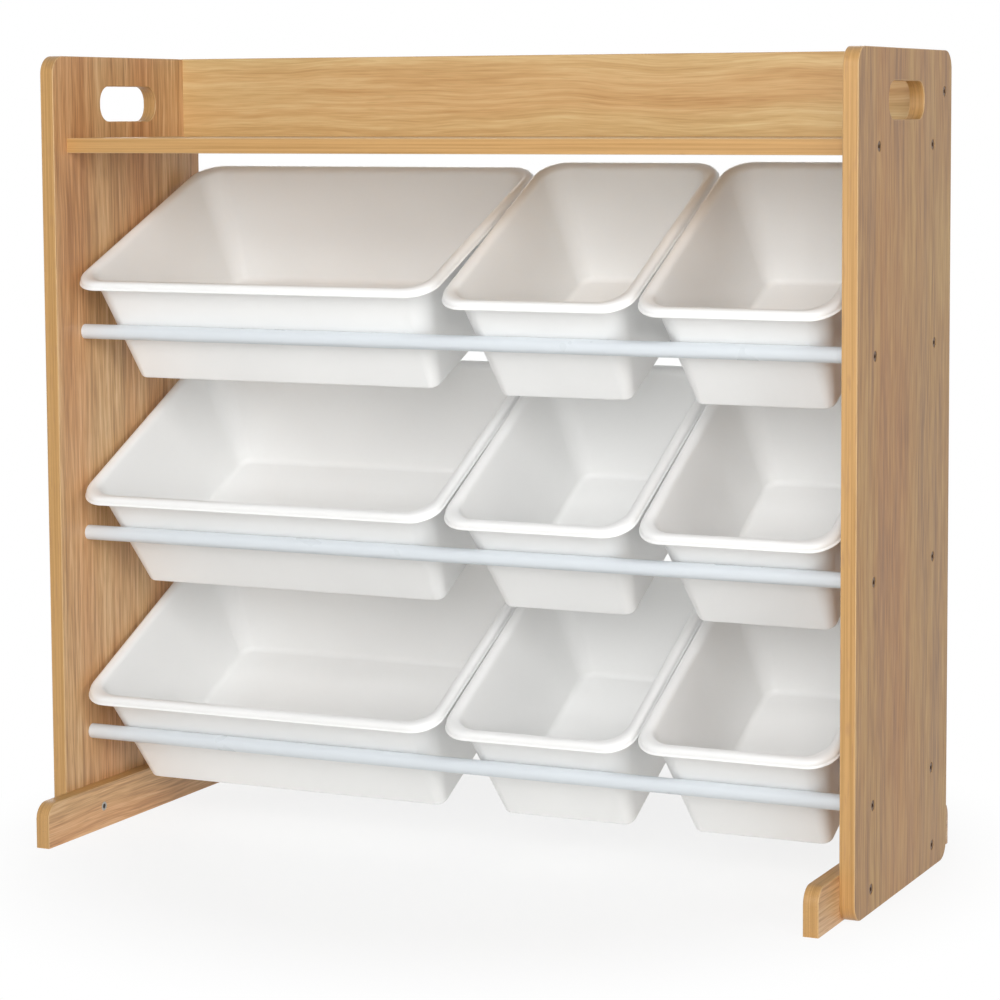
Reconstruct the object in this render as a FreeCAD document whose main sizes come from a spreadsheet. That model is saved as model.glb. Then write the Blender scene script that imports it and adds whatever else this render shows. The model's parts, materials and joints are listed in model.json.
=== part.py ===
import FreeCAD, Part
import math
import os
import Sketcher

# Toy storage organizer: two slotted side panels carry a tray shelf with a raised back board and
# three tiers of rods. Nine open bins lean forward on the rods. All lengths are in millimetres.
# Frame: X to the right, Y to the back, Z up. The origin is on the floor, under the middle.

doc = FreeCAD.newDocument("ToyOrganizer")
Vector = FreeCAD.Vector
SAME_PLACE = 0.01  # two coordinates closer than this are taken as one when edges are picked

# ---------------------------------------------------------------- driving dimensions
SIZES = {
    # boards
    "overall_width": 857, "panel_depth": 273, "panel_height": 787, "board_thick": 15,
    "panel_corner": 18, "board_edge_round": 0.9,
    # handle slots in the side panels
    "slot_length": 104, "slot_height": 35.5, "slot_corner": 16, "slot_drop": 47.5,
    # tray shelf and back board
    "back_height": 96.5, "back_inset": 15, "shelf_front_inset": 23,
    # feet along the bottom of the side panels
    "foot_length": 381, "foot_height": 44.5, "foot_corner": 16,
    # rods: the bottom tier is measured from the floor, the top tier from the shelf's underside
    "rod_diameter": 15, "rod_wall": 1.2, "rod_edge_inset": 49.5, "low_rod_height": 99,
    "top_rod_drop": 180.5, "plug_length": 18, "plug_fit": 0.1,
    # bins
    "bin_height": 124, "bin_length": 284, "big_bin_width": 404, "bin_gap": 2.3,
    "bin_left_gap": 5, "bin_right_gap": 12.4, "bin_wall": 2, "bin_floor": 2.2,
    "rim_overhang": 11.5, "end_draw_in": 20.5, "side_draw_in": 19.5, "rim_corner": 28,
    "wall_corner": 26, "floor_corner": 10, "rim_depth": 8, "rim_skin": 2.4, "rim_skirt": 2.4,
    "rim_round": 1.1, "mouth_round": 1.4, "floor_round": 2.5, "inner_round": 2.5, "seat_gap": 0.3,
    # how far each bin has slid down on its rods, as its lean in degrees
    "big_top_tilt": 23.9, "centre_top_tilt": 27.4, "right_top_tilt": 28.2,
    "big_middle_tilt": 27.8, "centre_middle_tilt": 29, "right_middle_tilt": 30,
    "big_bottom_tilt": 27.2, "centre_bottom_tilt": 28.1, "right_bottom_tilt": 27,
    # screws, bolts, inserts and dowels
    "screw_head": 9.5, "screw_head_thick": 3, "screw_recess": 0.4, "screw_head_play": 0.3,
    "screw_shank": 5, "screw_play": 0.1, "screw_run_out": 2, "hex_key": 4, "hex_depth": 2,
    "shelf_screw_length": 50, "rod_screw_length": 32, "foot_bolt_length": 26,
    "insert_diameter": 9, "insert_play": 0.1,
    "dowel_diameter": 8, "dowel_length": 30, "dowel_in_panel": 9, "dowel_play": 0.1,
    # places of the fasteners
    "shelf_screw_inset": 58, "shelf_screw_rear_inset": 58, "back_screw_drop": 39,
    "back_dowel_drop": 72, "foot_bolt_inset": 45.5,
}

# ---------------------------------------------------------------- what follows from them
PLACES = {
    "inner_width": "=Sizes.overall_width - 2 * Sizes.board_thick",
    "half_width": "=Sizes.overall_width / 2",
    "half_inner": "=inner_width / 2",
    "half_depth": "=Sizes.panel_depth / 2",
    "shelf_under": "=Sizes.panel_height - Sizes.back_height",
    "shelf_middle": "=shelf_under + Sizes.board_thick / 2",
    "back_rear": "=Sizes.panel_depth - Sizes.back_inset",
    "back_front": "=back_rear - Sizes.board_thick",
    "back_middle": "=back_rear - Sizes.board_thick / 2",
    "shelf_depth": "=back_front - Sizes.shelf_front_inset",
    "half_board": "=Sizes.board_thick / 2",
    "slot_middle_height": "=Sizes.panel_height - Sizes.slot_drop",
    # rods, measured from the panel's front bottom corner
    "rod_radius": "=Sizes.rod_diameter / 2",
    "rod_bore": "=Sizes.rod_diameter - 2 * Sizes.rod_wall",
    "plug_diameter": "=rod_bore - 2 * Sizes.plug_fit",
    "front_rod_y": "=Sizes.rod_edge_inset",
    "rear_rod_y": "=Sizes.panel_depth - Sizes.rod_edge_inset",
    "rod_spacing": "=rear_rod_y - front_rod_y",
    "bottom_rod_z": "=Sizes.low_rod_height",
    "top_rod_z": "=shelf_under - Sizes.top_rod_drop",
    "middle_rod_z": "=(bottom_rod_z + top_rod_z) / 2",
    # screws
    "counterbore": "=Sizes.screw_head + 2 * Sizes.screw_head_play",
    "counterbore_deep": "=Sizes.screw_head_thick + Sizes.screw_recess",
    "shank_hole": "=Sizes.screw_shank + 2 * Sizes.screw_play",
    "head_inner_x": "=half_width - counterbore_deep",
    "head_outer_x": "=half_width - Sizes.screw_recess",
    "shelf_bore_deep": "=half_inner - head_inner_x + Sizes.shelf_screw_length + Sizes.screw_run_out",
    "shelf_front_screw_y": "=Sizes.shelf_screw_inset",
    "shelf_rear_screw_y": "=Sizes.panel_depth - Sizes.shelf_screw_rear_inset",
    "back_screw_z": "=Sizes.panel_height - Sizes.back_screw_drop",
    "back_dowel_z": "=Sizes.panel_height - Sizes.back_dowel_drop",
    "foot_front_bolt_y": "=Sizes.foot_bolt_inset",
    "foot_rear_bolt_y": "=Sizes.panel_depth - Sizes.foot_bolt_inset",
    "foot_bolt_z": "=Sizes.foot_height / 2",
    "foot_ahead": "=(Sizes.foot_length - Sizes.panel_depth) / 2",
    "insert_hole": "=Sizes.insert_diameter + 2 * Sizes.insert_play",
    # dowels
    "dowel_hole": "=Sizes.dowel_diameter + 2 * Sizes.dowel_play",
    "dowel_panel_deep": "=Sizes.dowel_in_panel + Sizes.dowel_play",
    "dowel_board_deep": "=Sizes.dowel_length - Sizes.dowel_in_panel + Sizes.dowel_play",
    "dowel_inner_x": "=half_inner - Sizes.dowel_length + Sizes.dowel_in_panel",
    "shelf_dowel_y": "=Sizes.panel_depth / 2",
    # places inside the shelf, the back board and the feet
    "shelf_front_screw_in": "=shelf_front_screw_y - Sizes.shelf_front_inset",
    "shelf_rear_screw_in": "=shelf_rear_screw_y - Sizes.shelf_front_inset",
    "shelf_dowel_in": "=shelf_dowel_y - Sizes.shelf_front_inset",
    "back_screw_in": "=back_screw_z - shelf_under",
    "back_dowel_in": "=back_dowel_z - shelf_under",
    "foot_front_bolt_in": "=foot_front_bolt_y + foot_ahead",
    "foot_rear_bolt_in": "=foot_rear_bolt_y + foot_ahead",
    # bins: widths, wall outlines at the rim and at the floor
    "bins_span": "=inner_width - Sizes.bin_left_gap - Sizes.bin_right_gap",
    "small_bin_width": "=(bins_span - Sizes.big_bin_width - 2 * Sizes.bin_gap) / 2",
    "wall_top_long": "=Sizes.bin_length - 2 * Sizes.rim_overhang",
    "wall_low_long": "=wall_top_long - 2 * Sizes.end_draw_in",
    "mouth_long": "=wall_top_long - 2 * Sizes.bin_wall",
    "hollow_low_long": "=wall_low_long - 2 * Sizes.bin_wall",
    "mouth_corner": "=Sizes.wall_corner - Sizes.bin_wall",
    "hollow_corner": "=Sizes.floor_corner - Sizes.bin_wall",
    "skirt_long": "=Sizes.bin_length - 2 * Sizes.rim_skirt",
    "skirt_corner": "=Sizes.rim_corner - Sizes.rim_skirt",
    "hollow_deep": "=Sizes.bin_height - Sizes.bin_floor",
    "groove_deep": "=Sizes.rim_depth - Sizes.rim_skin",
    # a bin lies with its floor on the rear rod and leans with its front wall on the front rod
    "seat": "=rod_radius + Sizes.seat_gap",
    "draft": "=Sizes.end_draw_in / Sizes.bin_height",
    "seat_off_wall": "=seat * sqrt(1 + draft * draft)",
}
TIERS = ("top", "middle", "bottom")
COLUMNS = ("big", "centre", "right")
for tier in TIERS:
    for column in COLUMNS:
        # the front rod in the leaning bin's own axes: down from the rim, and back from its front
        # edge, from which follows how far it is to the rim's middle
        spot = column + "_" + tier
        of = {"spot": spot, "tier": tier, "sin": "sin(Sizes.%s_tilt)" % spot,
              "cos": "cos(Sizes.%s_tilt)" % spot}
        PLACES[spot + "_down"] = "=Sizes.bin_height + seat - rod_spacing * %(sin)s" % of
        PLACES[spot + "_back"] = "=Sizes.rim_overhang + %(spot)s_down * draft - seat_off_wall" % of
        PLACES[spot + "_along"] = "=Sizes.bin_length / 2 - %(spot)s_back" % of
        PLACES[spot + "_y"] = ("=front_rod_y + %(spot)s_along * %(cos)s"
                               " - %(spot)s_down * %(sin)s" % of)
        PLACES[spot + "_z"] = ("=%(tier)s_rod_z + %(spot)s_along * %(sin)s"
                               " + %(spot)s_down * %(cos)s" % of)
for kind, wide in (("big", "Sizes.big_bin_width"), ("small", "small_bin_width")):
    PLACES[kind + "_wall_top"] = "=%s - 2 * Sizes.rim_overhang" % wide
    PLACES[kind + "_wall_low"] = "=%s_wall_top - 2 * Sizes.side_draw_in" % kind
    PLACES[kind + "_mouth"] = "=%s_wall_top - 2 * Sizes.bin_wall" % kind
    PLACES[kind + "_hollow_low"] = "=%s_wall_low - 2 * Sizes.bin_wall" % kind
    PLACES[kind + "_skirt"] = "=%s - 2 * Sizes.rim_skirt" % wide
PLACES["big_bin_x"] = "=Sizes.bin_left_gap + Sizes.big_bin_width / 2 - half_inner"
PLACES["right_bin_x"] = "=half_inner - Sizes.bin_right_gap - small_bin_width / 2"
PLACES["centre_bin_x"] = "=right_bin_x - small_bin_width - Sizes.bin_gap"


def fill_sheet(name, cells):
    """A spreadsheet with one named cell a row."""
    sheet = doc.addObject("Spreadsheet::Sheet", name)
    for row, (alias, content) in enumerate(cells.items(), start=1):
        sheet.set("A%d" % row, alias)
        sheet.set("B%d" % row, str(content))
        sheet.setAlias("B%d" % row, alias)
    return sheet


sizes = fill_sheet("Sizes", SIZES)
doc.recompute()
places = fill_sheet("Places", PLACES)
doc.recompute()
subparts = []


def value(alias):
    """The number that a named cell holds."""
    return float(getattr(sizes if alias in SIZES else places, alias))


def cell(alias):
    """The name under which an expression finds a named cell."""
    return ("Sizes." if alias in SIZES else "Places.") + alias


def bind(thing, **links):
    """Tie properties of an object to expressions; a double underscore stands for a dot."""
    for name, expression in links.items():
        thing.setExpression(name.replace("__", "."), expression)


def place(thing, x="0", y="0", z="0"):
    """Tie an object's place to expressions. Y is counted from the middle of the panel's depth."""
    bind(thing, Placement__Base__x=x, Placement__Base__y=y + " - Places.half_depth",
         Placement__Base__z=z)


def finish(thing, name):
    """Name a sub-part and list it for the export."""
    thing.Label = name
    subparts.append(thing)
    return thing


# ---------------------------------------------------------------- sketch and body helpers
def new_sketch(body, role, name, offset=None):
    """A sketch on one of the body's own origin planes, moved along its normal by an expression."""
    flat = [item for item in body.Origin.OriginFeatures if item.Role == role][0]
    sketch = body.newObject("Sketcher::SketchObject", name)
    sketch.AttachmentSupport = [(flat, "")]
    sketch.MapMode = "FlatFace"
    if offset:
        bind(sketch, AttachmentOffset__Base__z=offset)
    return sketch


def dimension(sketch, kind, *where, alias):
    """Add one dimension and tie it to a named cell."""
    index = sketch.addConstraint(Sketcher.Constraint(kind, *where, value(alias)))
    sketch.renameConstraint(index, "%s_%d" % (alias, index))
    sketch.setExpression("Constraints.%s_%d" % (alias, index), cell(alias))


def rounded_rectangle(sketch, wide, tall, corner, centred=False):
    """Closed outline with four equal corner arcs, from the origin up and right, or centred on it."""
    w, h, r = value(wide), value(tall), value(corner)
    x0, y0 = (-w / 2, -h / 2) if centred else (0, 0)
    x1, y1 = x0 + w, y0 + h
    ends = [((x0 + r, y0), (x1 - r, y0)), ((x1, y0 + r), (x1, y1 - r)),
            ((x1 - r, y1), (x0 + r, y1)), ((x0, y1 - r), (x0, y0 + r))]
    first = sketch.GeometryCount
    for start, end in ends:
        sketch.addGeometry(Part.LineSegment(Vector(*start, 0), Vector(*end, 0)), False)
    middles = [(x1 - r, y0 + r), (x1 - r, y1 - r), (x0 + r, y1 - r), (x0 + r, y0 + r)]
    for turn, middle in enumerate(middles):
        circle = Part.Circle(Vector(*middle, 0), Vector(0, 0, 1), r)
        begin = (turn - 1) * math.pi / 2
        sketch.addGeometry(Part.ArcOfCircle(circle, begin, begin + math.pi / 2), False)
    for side in range(4):
        line, arc, following = first + side, first + 4 + side, first + (side + 1) % 4
        sketch.addConstraint(Sketcher.Constraint("Tangent", line, 2, arc, 1))
        sketch.addConstraint(Sketcher.Constraint("Tangent", arc, 2, following, 1))
        sketch.addConstraint(Sketcher.Constraint("Vertical" if side % 2 else "Horizontal", line))
        if side:
            sketch.addConstraint(Sketcher.Constraint("Equal", first + 4, arc))
    if centred:
        sketch.addConstraint(Sketcher.Constraint("Symmetric", first + 4, 3, first + 6, 3, -1, 1))
    else:
        sketch.addConstraint(Sketcher.Constraint("PointOnObject", first, 1, -1))
        sketch.addConstraint(Sketcher.Constraint("PointOnObject", first + 3, 1, -2))
    dimension(sketch, "Radius", first + 4, alias=corner)
    dimension(sketch, "DistanceX", first + 3, 1, first + 1, 1, alias=wide)
    dimension(sketch, "DistanceY", first, 1, first + 2, 1, alias=tall)


def plain_rectangle(sketch, wide, tall):
    """Closed outline with sharp corners, from the origin up and right."""
    w, h = value(wide), value(tall)
    corners = [Vector(0, 0, 0), Vector(w, 0, 0), Vector(w, h, 0), Vector(0, h, 0)]
    for side in range(4):
        sketch.addGeometry(Part.LineSegment(corners[side], corners[(side + 1) % 4]), False)
    for side in range(4):
        sketch.addConstraint(Sketcher.Constraint("Coincident", side, 2, (side + 1) % 4, 1))
        sketch.addConstraint(Sketcher.Constraint("Vertical" if side % 2 else "Horizontal", side))
    sketch.addConstraint(Sketcher.Constraint("Coincident", 0, 1, -1, 1))
    dimension(sketch, "DistanceX", 0, 1, 0, 2, alias=wide)
    dimension(sketch, "DistanceY", 1, 1, 1, 2, alias=tall)


def circle_at(sketch, across, up, diameter):
    """A circle whose centre is dimensioned from the sketch's origin."""
    centre = Vector(value(across), value(up), 0)
    ring = sketch.addGeometry(Part.Circle(centre, Vector(0, 0, 1), value(diameter) / 2), False)
    dimension(sketch, "DistanceX", -1, 1, ring, 3, alias=across)
    dimension(sketch, "DistanceY", -1, 1, ring, 3, alias=up)
    dimension(sketch, "Diameter", ring, alias=diameter)


def pad(body, sketch, length, name, reverse=False):
    """Raise a sketch into a solid."""
    feature = body.newObject("PartDesign::Pad", name)
    feature.Profile = sketch
    feature.Reversed = reverse
    bind(feature, Length=length)
    doc.recompute()
    return feature


def pocket(body, sketch, length, name, reverse=False):
    """Cut a sketch out of the body, and make sure that the cut took material away."""
    before = body.Shape.Volume
    feature = body.newObject("PartDesign::Pocket", name)
    feature.Profile = sketch
    feature.Reversed = reverse
    bind(feature, Length=length)
    doc.recompute()
    if body.Shape.Volume >= before:
        raise RuntimeError("%s in %s cut nothing" % (name, body.Name))
    return feature


def round_edges(body, test, radius, name):
    """Fillet the edges of the body that pass a test on their bounding box and length."""
    names = ["Edge%d" % (n + 1) for n, edge in enumerate(body.Shape.Edges)
             if test(edge.BoundBox, edge)]
    base = body.Tip
    feature = body.newObject("PartDesign::Fillet", name)
    feature.Base = (base, names)
    bind(feature, Radius=radius)
    doc.recompute()
    return feature


def near(a, b):
    return abs(a - b) < SAME_PLACE


# ---------------------------------------------------------------- side panels
SHELF_SCREWS = [("shelf_front_screw_y", "shelf_middle"), ("shelf_rear_screw_y", "shelf_middle")]
BACK_SCREWS = [("back_middle", "back_screw_z")]
ROD_PLACES = [(across, tier + "_rod_z") for tier in TIERS
              for across in ("front_rod_y", "rear_rod_y")]
FOOT_BOLTS = [("foot_front_bolt_y", "foot_bolt_z"), ("foot_rear_bolt_y", "foot_bolt_z")]
DOWELS = {"shelf": [("shelf_dowel_y", "shelf_middle")], "back": [("back_middle", "back_dowel_z")]}


def side_panel(name, outer_is_low_x):
    """Board with four round corners, a handle slot, screw holes and blind dowel holes."""
    body = doc.addObject("PartDesign::Body", name)
    outline = new_sketch(body, "YZ_Plane", "Outline")
    rounded_rectangle(outline, "panel_depth", "panel_height", "panel_corner")
    pad(body, outline, "Sizes.board_thick", "Board")
    slot = new_sketch(body, "YZ_Plane", "SlotOutline")
    rounded_rectangle(slot, "slot_length", "slot_height", "slot_corner", centred=True)
    bind(slot, AttachmentOffset__Base__x="Places.half_depth",
         AttachmentOffset__Base__y="Places.slot_middle_height")
    pocket(body, slot, "Sizes.board_thick", "HandleSlot", reverse=True)
    thick = value("board_thick")

    def on_a_face(box, edge):
        return near(box.XMin, box.XMax) and (near(box.XMin, 0) or near(box.XMin, thick))

    round_edges(body, on_a_face, "Sizes.board_edge_round", "SoftEdges")
    shanks = new_sketch(body, "YZ_Plane", "ScrewHoles")
    heads = new_sketch(body, "YZ_Plane", "HeadHoles",
                       None if outer_is_low_x else "Sizes.board_thick")
    for across, up in SHELF_SCREWS + BACK_SCREWS + ROD_PLACES + FOOT_BOLTS:
        circle_at(shanks, across, up, "shank_hole")
        circle_at(heads, across, up, "counterbore")
    pocket(body, shanks, "Sizes.board_thick", "ThroughHoles", reverse=True)
    pocket(body, heads, "Places.counterbore_deep", "Counterbores", reverse=outer_is_low_x)
    blind = new_sketch(body, "YZ_Plane", "DowelHoles",
                       "Sizes.board_thick" if outer_is_low_x else None)
    for across, up in DOWELS["shelf"] + DOWELS["back"]:
        circle_at(blind, across, up, "dowel_hole")
    pocket(body, blind, "Places.dowel_panel_deep", "DowelSockets", reverse=not outer_is_low_x)
    x = "-Places.half_width" if outer_is_low_x else "Places.half_inner"
    place(body, x=x)
    return finish(body, name)


side_panel("left_side_panel", True)
side_panel("right_side_panel", False)


# ---------------------------------------------------------------- tray shelf and back board
def end_bores(body, circles, diameter, depth, name):
    """Bores from both ends of a board that runs along X."""
    for end, offset, reverse in (("Left", None, True), ("Right", "Places.inner_width", False)):
        sketch = new_sketch(body, "YZ_Plane", name + end + "Circles", offset)
        for across, up in circles:
            circle_at(sketch, across, up, diameter)
        pocket(body, sketch, depth, name + end, reverse=reverse)


def cross_board(name, wide, tall, rounded):
    """Board between the side panels; rounded tests which of its long edges are softened."""
    body = doc.addObject("PartDesign::Body", name)
    outline = new_sketch(body, "YZ_Plane", "Outline")
    plain_rectangle(outline, wide, tall)
    pad(body, outline, "Places.inner_width", "Board")
    round_edges(body, rounded, "Sizes.board_edge_round", "SoftEdges")
    return body


def top_shelf():
    def front_edge(box, edge):
        return near(box.YMin, 0) and near(box.YMax, 0) and box.XLength > value("half_inner")

    body = cross_board("top_shelf", "shelf_depth", "board_thick", front_edge)
    end_bores(body, [("shelf_front_screw_in", "half_board"), ("shelf_rear_screw_in", "half_board")],
              "shank_hole", "Places.shelf_bore_deep", "ScrewBores")
    end_bores(body, [("shelf_dowel_in", "half_board")], "dowel_hole",
              "Places.dowel_board_deep", "DowelBores")
    place(body, "-Places.half_inner", "Sizes.shelf_front_inset", "Places.shelf_under")
    return finish(body, "top_shelf")


def back_panel():
    def top_edge(box, edge):
        return near(box.ZMin, value("back_height")) and box.XLength > value("half_inner")

    body = cross_board("back_panel", "board_thick", "back_height", top_edge)
    end_bores(body, [("half_board", "back_screw_in")], "shank_hole",
              "Places.shelf_bore_deep", "ScrewBores")
    end_bores(body, [("half_board", "back_dowel_in")], "dowel_hole",
              "Places.dowel_board_deep", "DowelBores")
    place(body, "-Places.half_inner", "Places.back_front", "Places.shelf_under")
    return finish(body, "back_panel")


top_shelf()
back_panel()


# ---------------------------------------------------------------- feet
def foot(name, x):
    """Low board along the inner face of a side panel, with two rounded top corners."""
    body = doc.addObject("PartDesign::Body", name)
    outline = new_sketch(body, "YZ_Plane", "Outline")
    plain_rectangle(outline, "foot_length", "foot_height")
    pad(body, outline, "Sizes.board_thick", "Board")
    top, length, thick = value("foot_height"), value("foot_length"), value("board_thick")

    def top_corner(box, edge):
        at_end = near(box.YMin, box.YMax) and (near(box.YMin, 0) or near(box.YMin, length))
        return at_end and near(box.ZMin, top) and near(box.ZMax, top) and box.XLength > thick / 2

    round_edges(body, top_corner, "Sizes.foot_corner", "RoundEnds")

    def on_a_face(box, edge):
        flat = near(box.XMin, box.XMax) and (near(box.XMin, 0) or near(box.XMin, thick))
        return flat and not near(box.ZMax, 0)

    round_edges(body, on_a_face, "Sizes.board_edge_round", "SoftEdges")
    holes = new_sketch(body, "YZ_Plane", "InsertHoles")
    for across in ("foot_front_bolt_in", "foot_rear_bolt_in"):
        circle_at(holes, across, "foot_bolt_z", "insert_hole")
    pocket(body, holes, "Sizes.board_thick", "InsertBores", reverse=True)
    place(body, x, "-Places.foot_ahead")
    return finish(body, name)


foot("left_foot", "-Places.half_inner")
foot("right_foot", "Places.half_inner - Sizes.board_thick")


# ---------------------------------------------------------------- rods and their end plugs
def cylinder(name, diameter, length, x, y, z):
    """A solid cylinder along X; diameter and length are named cells, x, y and z expressions."""
    solid = doc.addObject("Part::Cylinder", name)
    solid.Placement = FreeCAD.Placement(Vector(), FreeCAD.Rotation(Vector(0, 1, 0), 90))
    bind(solid, Radius=diameter + " / 2", Height=length)
    place(solid, x, y, z)
    return solid


def cut(name, base, tool):
    solid = doc.addObject("Part::Cut", name)
    solid.Base, solid.Tool = base, tool
    return solid


def group(name, solids):
    """Like fasteners share one sub-part as separate solids."""
    set_of = doc.addObject("Part::Compound", name)
    set_of.Links = solids
    return finish(set_of, name)


def rod(name, across, up):
    """Tube between the side panels."""
    place_of = ("-Places.half_inner", cell(across), cell(up))
    whole = cylinder(name + "_outside", "Sizes.rod_diameter", "Places.inner_width", *place_of)
    bore = cylinder(name + "_bore", "Places.rod_bore", "Places.inner_width", *place_of)
    return finish(cut(name, whole, bore), name)


for tier in TIERS:
    for where in ("front", "rear"):
        rod("%s_rod_%s" % (where, tier), where + "_rod_y", tier + "_rod_z")


def rod_plugs(side, start):
    """Plugs pressed into the six rod ends on one side, each bored for its screw."""
    plugs = []
    for number, (across, up) in enumerate(ROD_PLACES, start=1):
        place_of = (start, cell(across), cell(up))
        name = "%s_plug_%d" % (side, number)
        body = cylinder(name + "_outside", "Places.plug_diameter", "Sizes.plug_length", *place_of)
        bore = cylinder(name + "_bore", "Places.shank_hole", "Sizes.plug_length", *place_of)
        plugs.append(cut(name, body, bore))
    return group("rod_plugs_" + side, plugs)


rod_plugs("left", "-Places.half_inner")
rod_plugs("right", "Places.half_inner - Sizes.plug_length")


# ---------------------------------------------------------------- screws, bolts, inserts, dowels
def screw(name, length, side, across, up):
    """Round head with a hexagonal recess and a plain shank; side is -1 on the left, 1 on the right.
    The shank runs inwards from the bottom of the counterbore."""
    y, z = cell(across), cell(up)
    if side < 0:
        shank_x, head_x = "-Places.head_inner_x", "-Places.head_outer_x"
        key_x = head_x
    else:
        shank_x, head_x = "Places.head_inner_x - " + length, "Places.head_inner_x"
        key_x = "Places.head_outer_x - Sizes.hex_depth"
    head = cylinder(name + "_head", "Sizes.screw_head", "Sizes.screw_head_thick", head_x, y, z)
    shank = cylinder(name + "_shank", "Sizes.screw_shank", length, shank_x, y, z)
    blank = doc.addObject("Part::Fuse", name + "_blank")
    blank.Base, blank.Tool = head, shank
    key = doc.addObject("Part::Prism", name + "_key")
    key.Polygon = 6
    key.Placement = FreeCAD.Placement(Vector(), FreeCAD.Rotation(Vector(0, 1, 0), 90))
    bind(key, Circumradius="Sizes.hex_key / sqrt(3)", Height="Sizes.hex_depth")
    place(key, key_x, y, z)
    return cut(name, blank, key)


def screws(name, length, where):
    """The screws of one kind, on both side panels."""
    solids = []
    for side, word in ((-1, "left"), (1, "right")):
        for number, (across, up) in enumerate(where, start=1):
            label = "%s_%s_%d" % (name, word, number)
            solids.append(screw(label, length, side, across, up))
    return group(name, solids)


screws("shelf_screws", "Sizes.shelf_screw_length", SHELF_SCREWS)
screws("back_panel_screws", "Sizes.shelf_screw_length", BACK_SCREWS)
screws("rod_screws", "Sizes.rod_screw_length", ROD_PLACES)
screws("foot_bolts", "Sizes.foot_bolt_length", FOOT_BOLTS)


def foot_inserts():
    """Threaded sleeves in the feet. They show as metal rings on the feet's inner faces."""
    sleeves = []
    for word, start in (("left", "-Places.half_inner"),
                        ("right", "Places.half_inner - Sizes.board_thick")):
        for number, (across, up) in enumerate(FOOT_BOLTS, start=1):
            place_of = (start, cell(across), cell(up))
            name = "insert_%s_%d" % (word, number)
            body = cylinder(name + "_outside", "Sizes.insert_diameter", "Sizes.board_thick",
                            *place_of)
            bore = cylinder(name + "_bore", "Places.shank_hole", "Sizes.board_thick", *place_of)
            sleeves.append(cut(name, body, bore))
    return group("foot_inserts", sleeves)


def dowels(name, where):
    """Wooden dowels, part in the side panel and part in the board's end."""
    pegs = []
    for word, start in (("left", "-Places.half_inner - Sizes.dowel_in_panel"),
                        ("right", "Places.dowel_inner_x")):
        for number, (across, up) in enumerate(where, start=1):
            pegs.append(cylinder("%s_%s_%d" % (name, word, number), "Sizes.dowel_diameter",
                                 "Sizes.dowel_length", start, cell(across), cell(up)))
    return group(name, pegs)


foot_inserts()
dowels("shelf_dowels", DOWELS["shelf"])
dowels("back_panel_dowels", DOWELS["back"])


# ---------------------------------------------------------------- bins
def bin_outline(body, name, wide, tall, corner, offset=None):
    sketch = new_sketch(body, "XY_Plane", name, offset)
    rounded_rectangle(sketch, wide, tall, corner, centred=True)
    return sketch


def loft(body, kind, name, profile, section):
    """Straight walls from one outline to another."""
    feature = body.newObject("PartDesign::%sLoft" % kind, name)
    feature.Profile = profile
    feature.Sections = [section]
    feature.Ruled = True
    doc.recompute()
    return feature


def storage_bin(column, tier):
    """Open moulded bin: walls drawn in towards the floor, and a turned-down rim with a skirt.
    Its own axes start in the middle of the rim, with the rim's plane at height 0."""
    spot = column + "_" + tier
    kind = "big" if column == "big" else "small"
    width = kind + "_bin_width"
    body = doc.addObject("PartDesign::Body", column + "_bin_" + tier)
    top = bin_outline(body, "WallTop", kind + "_wall_top", "wall_top_long", "wall_corner")
    low = bin_outline(body, "WallLow", kind + "_wall_low", "wall_low_long", "floor_corner",
                      "-Sizes.bin_height")
    loft(body, "Additive", "Walls", top, low)
    rim = bin_outline(body, "RimOutline", width, "bin_length", "rim_corner")
    pad(body, rim, "Sizes.rim_depth", "Rim", reverse=True)
    groove = bin_outline(body, "Groove", kind + "_skirt", "skirt_long", "skirt_corner",
                         "-Sizes.rim_depth")
    rounded_rectangle(groove, kind + "_wall_top", "wall_top_long", "wall_corner", centred=True)
    pocket(body, groove, "Places.groove_deep", "UnderRim", reverse=True)
    mouth = bin_outline(body, "MouthTop", kind + "_mouth", "mouth_long", "mouth_corner")
    floor = bin_outline(body, "HollowLow", kind + "_hollow_low", "hollow_low_long",
                        "hollow_corner", "-Places.hollow_deep")
    loft(body, "Subtractive", "Hollow", mouth, floor)
    wall_x, wall_y = value(kind + "_wall_top") / 2, value("wall_top_long") / 2

    def top_edge(outside):
        def test(box, edge):
            beyond = max(box.XMax, -box.XMin) > wall_x or max(box.YMax, -box.YMin) > wall_y
            return near(box.ZMin, 0) and beyond == outside
        return test

    def edge_at(level):
        return lambda box, edge: near(box.ZMin, level) and near(box.ZMax, level)

    round_edges(body, top_edge(outside=True), "Sizes.rim_round", "RimRound")
    round_edges(body, top_edge(outside=False), "Sizes.mouth_round", "MouthRound")
    round_edges(body, edge_at(-value("bin_height")), "Sizes.floor_round", "FloorRound")
    round_edges(body, edge_at(-value("hollow_deep")), "Sizes.inner_round", "InnerRound")
    body.Placement = FreeCAD.Placement(Vector(), FreeCAD.Rotation(Vector(1, 0, 0), 1))
    bind(body, Placement__Rotation__Angle="Sizes.%s_tilt" % spot)
    place(body, cell(column + "_bin_x"), cell(spot + "_y"), cell(spot + "_z"))
    return finish(body, body.Name)


for tier in TIERS:
    for column in COLUMNS:
        storage_bin(column, tier)


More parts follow.
